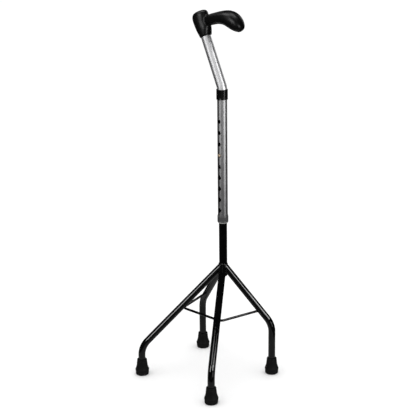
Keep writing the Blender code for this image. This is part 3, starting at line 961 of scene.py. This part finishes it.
def make_handle():
    """The moulded grip, with the palm rest blended into the boss, the socket and the screw's recess."""
    shapes = []
    both = new_bmesh()
    for sections, power in ((boss_sections, BOSS_POWER), (grip_sections, GRIP_POWER)):
        loft(both, sections(), power)
        alone = new_bmesh()
        loft(alone, sections(), power)
        shapes.append(BVHTree.FromBMesh(alone))
        alone.free()
    mesh = evaluated_mesh(remeshed(both, HANDLE_VOXEL, HANDLE_SMOOTHING))
    body = placed("handle_body", mesh)
    crease = body.vertex_groups.new(name="crease")
    for vert in mesh.vertices:
        away = max(shape.find_nearest(vert.co)[3] for shape in shapes)
        if away < CREASE_REACH:
            crease.add([vert.index], 1.0 - away / CREASE_REACH, "REPLACE")
    melt = body.modifiers.new("melt", "SMOOTH")
    melt.factor = 0.6
    melt.iterations = CREASE_SMOOTHING
    melt.vertex_group = "crease"
    body = placed("handle_body", evaluated_mesh(body))

    cutter = new_bmesh()
    up_the_neck = aimed(neck_point(0.0), NECK_DIRECTION)
    round_cutter(cutter, TUBE_RADIUS + GAP, SOCKET_CUTTER_START, SOCKET_END, up_the_neck, 96)
    forward = aimed(neck_point(SCREW_AT), NECK_FRONT)
    round_cutter(cutter, SCREW_HEAD_RADIUS + GAP, SCREW_HEAD_SEAT - GAP, RECESS_END, forward, 48)
    mesh = freed_mesh(cut_out(body, cutter))
    add_mesh("moulded_handle", mesh, HANDLE_PLASTIC, "upper_section",
             ["handle"], sharp=50)


SCREW_HEAD_TOP = 14.5 * MM
CROSS_ARM = (4.0 * MM, 0.75 * MM, 2.4 * MM)


def make_handle_screw():
    """A pan-head screw with a cross recess. Its profile's heights are from the neck's axis."""
    bm = new_bmesh()
    place = aimed(neck_point(SCREW_AT), NECK_FRONT)
    profile = [(0, 3.3), (0.9, 3.6), (1.8, 5.0), (1.8, 12.8), (3.4, 12.8), (3.5, 13.1), (3.4, 13.7),
               (2.8, 14.3), (1.6, 14.5), (0, 14.5)]
    turn(bm, rounded_profile(profile, 0.25), place, 48)
    bmesh.ops.recalc_face_normals(bm, faces=bm.faces)
    head = loose_object("screw", bm)
    for quarter in range(2):
        arm = new_bmesh()
        bmesh.ops.create_cube(arm, size=1.0)
        turned = Matrix.Rotation(quarter * math.pi / 2, 4, "Z")
        size = Matrix.Diagonal((*CROSS_ARM, 1.0))
        shape = Matrix.Translation((0, 0, SCREW_HEAD_TOP)) @ turned @ size
        bmesh.ops.transform(arm, matrix=place @ shape, verts=arm.verts)
        head = cut_out(head, arm)
    add_mesh("cross_recess_screw", freed_mesh(head), ZINC, "upper_section",
             ["handle_screw"], sharp=40)


# --- the parts inside, which keep their CAD shape ---------------------------------------------------


def finish_inner_nodes():
    """Better materials for the CAD nodes that stay as they are."""
    finishes = {
        "stem_top_guide": COLLAR_BLACK,
        "button_spring": SPRING_STEEL,
        "neck_rivet": ZINC,
        "neck_plug": NYLON,
    }
    for name in FEET:
        finishes["ferrule_washer_" + name] = ZINC
    for name, finish in finishes.items():
        NODES[name].data.materials.clear()
        NODES[name].data.materials.append(finish)


# --- floor and light ------------------------------------------------------------------------------

FLOOR_RADIUS = 40.0
FLOOR_DROP = 0.1 * MM      # keeps the floor just clear of the ferrules
TOP_LIGHT_Z = 2.4
TOP_LIGHT_SIZE = 1.0
TOP_LIGHT_ENERGY = 2.0 * math.pi
GLOW_SIZE = 0.7
GLOW_RADIANCE = 0.30
WORLD_STRENGTH = 1.10
WORLD_STRENGTH_IN_GLOSS = 0.03


def make_floor():
    """A pale floor, which the gloss of the object does not show, as in a dark studio."""
    finish, tree, shader = start_material("pale_floor", Roughness=0.9)
    shader.inputs["Specular IOR Level"].default_value = 0.0
    mottle = noise(tree, place_on(tree, False), 3.0, 4.0)
    colour = blended(tree, mottle, (0.93, 0.93, 0.93), (0.95, 0.95, 0.95))
    tree.links.new(colour, shader.inputs["Base Color"])
    bm = bmesh.new()
    bmesh.ops.create_circle(bm, cap_ends=True, segments=96, radius=FLOOR_RADIUS)
    floor = loose_object("floor", bm)
    floor.location.z = -FLOOR_DROP
    floor.data.materials.append(finish)
    floor.visible_glossy = False


VIEW_AZIMUTH = math.atan2(CAMERA_AT.y, CAMERA_AT.x - STEM_X)

# softboxes: (pieces they fall on, degrees round from the camera's side, height of the lower and
# upper edge, distance, width, radiance)
SOFTBOXES = {
    "metal_left": ("metals", -47, 0.75, 1.60, 1.7, 1.04, 1.6),
    "metal_right": ("metals", 52, 0.95, 2.15, 1.7, 0.92, 2.2),
    "metal_high": ("metals", 0, 1.05, 2.30, 1.9, 1.70, 0.75),
    "metal_low_right": ("metals", 52, 0.03, 0.84, 1.7, 1.30, 2.1),
    "metal_low_left": ("metals", -50, 0.03, 0.62, 1.7, 1.30, 1.02),
    "metal_middle": ("metals", 0, 0.03, 0.90, 2.0, 1.30, 0.62),
    "metal_rear_right": ("metals", 142, 0.90, 2.00, 2.0, 1.00, 0.9),
    "metal_rear_left": ("metals", -142, 0.90, 2.00, 2.0, 1.00, 1.4),
    "metal_low_rear_right": ("metals", 142, 0.03, 0.88, 2.0, 1.00, 0.5),
    "metal_low_rear_left": ("metals", -142, 0.03, 0.88, 2.0, 1.00, 0.5),
    "paint_left": ("paints", -46, 0.85, 2.30, 1.7, 0.44, 15.0),
    "paint_high_left": ("paints", -32, 1.25, 1.65, 0.8, 0.26, 9.0),
    "paint_right": ("paints", 43, 0.85, 2.20, 1.7, 0.50, 14.0),
    "paint_side_right": ("paints", 66, 1.00, 1.45, 1.7, 0.40, 14.0),
    "paint_low_right": ("paints", 47, 0.05, 0.60, 1.7, 0.30, 4.0),
    "paint_low": ("paints", 0, 0.03, 0.70, 2.2, 1.20, 0.12),
    "paint_rear_right": ("paints", 142, 0.60, 1.80, 2.0, 0.50, 3.0),
    "paint_rear_left": ("paints", -142, 0.60, 1.80, 2.0, 0.50, 3.0),
    "handle_left": ("handles", -50, 0.80, 1.55, 1.7, 0.80, 3.0),
    "handle_high_left": ("handles", -92, 1.40, 2.60, 0.8, 0.60, 2.6),
    "handle_right": ("handles", 14, 0.62, 0.92, 1.7, 0.34, 12.0),
    "handle_rear_right": ("handles", 142, 0.90, 2.00, 2.0, 1.00, 1.0),
    "handle_rear_left": ("handles", -150, 0.90, 2.00, 2.0, 1.00, 0.25),
}
PAINTS = (BLACK_PAINT, WELD_PAINT, COLLAR_BLACK, RUBBER)


def add_lamp(name, shape, size, energy):
    """An area light that the camera doesn't see."""
    data = bpy.data.lights.new(name, "AREA")
    data.shape = shape
    data.size = size
    data.energy = energy
    lamp = bpy.data.objects.new(name, data)
    bpy.context.scene.collection.objects.link(lamp)
    lamp.visible_camera = False
    return lamp


def add_softbox(name, receivers, turn_from_view, low, high, distance, width, radiance):
    """An upright area light round the object, facing it. Only the gloss of its receivers shows it."""
    azimuth = VIEW_AZIMUTH + math.radians(turn_from_view)
    lamp = add_lamp(name, "RECTANGLE", width, radiance * math.pi * width * (high - low))
    lamp.data.size_y = high - low
    out = Vector((math.cos(azimuth), math.sin(azimuth), 0.0))
    sideways = Vector((0, 0, 1)).cross(out)
    turn_to = Matrix((sideways, (0, 0, 1), out)).transposed().to_4x4()
    lamp.matrix_world = Matrix.Translation(stem_point((low + high) / 2) + distance * out) @ turn_to
    lamp.visible_diffuse = False
    lamp.light_linking.receiver_collection = receivers


def make_light():
    """Softboxes for each group of finishes, a top light, the floor's sheen and a white surround."""
    groups = {name: bpy.data.collections.new(name) for name in ("paints", "metals", "handles")}
    for thing in bpy.context.scene.objects:
        finish = thing.active_material
        if finish == HANDLE_PLASTIC:
            groups["handles"].objects.link(thing)
        elif finish in PAINTS:
            groups["paints"].objects.link(thing)
        elif finish:
            groups["metals"].objects.link(thing)
    for name, (group, *values) in SOFTBOXES.items():
        add_softbox(name, groups[group], *values)
    top = add_lamp("softbox_top", "SQUARE", TOP_LIGHT_SIZE, TOP_LIGHT_ENERGY)
    top.location.z = TOP_LIGHT_Z
    glow_energy = GLOW_RADIANCE * math.pi * math.pi * (GLOW_SIZE / 2) ** 2
    glow = add_lamp("floor_glow", "DISK", GLOW_SIZE, glow_energy)
    glow.matrix_world = Matrix.Rotation(math.pi, 4, "X")
    glow.visible_diffuse = False

    world = bpy.data.worlds.new("studio")
    bpy.context.scene.world = world
    world.cycles.sampling_method = "NONE"
    world.use_nodes = True
    tree = world.node_tree
    background = tree.nodes["Background"]
    background.inputs["Color"].default_value = (1.0, 1.0, 1.0, 1.0)
    path = tree.nodes.new("ShaderNodeLightPath")
    glossy = path.outputs["Is Glossy Ray"]
    strength = ranged(tree, glossy, WORLD_STRENGTH, WORLD_STRENGTH_IN_GLOSS, 0.0, 1.0)
    tree.links.new(strength, background.inputs["Strength"])


make_camera()
for leg_name, leg in LEGS.items():
    make_leg(leg_name, leg)
make_leg_welds()
make_brace()
make_stem()
make_ferrules()
make_button()
make_height_tube()
make_neck()
make_collars()
make_handle()
make_handle_screw()
finish_inner_nodes()
make_floor()
make_light()
bpy.context.scene.view_settings.view_transform = "Standard"
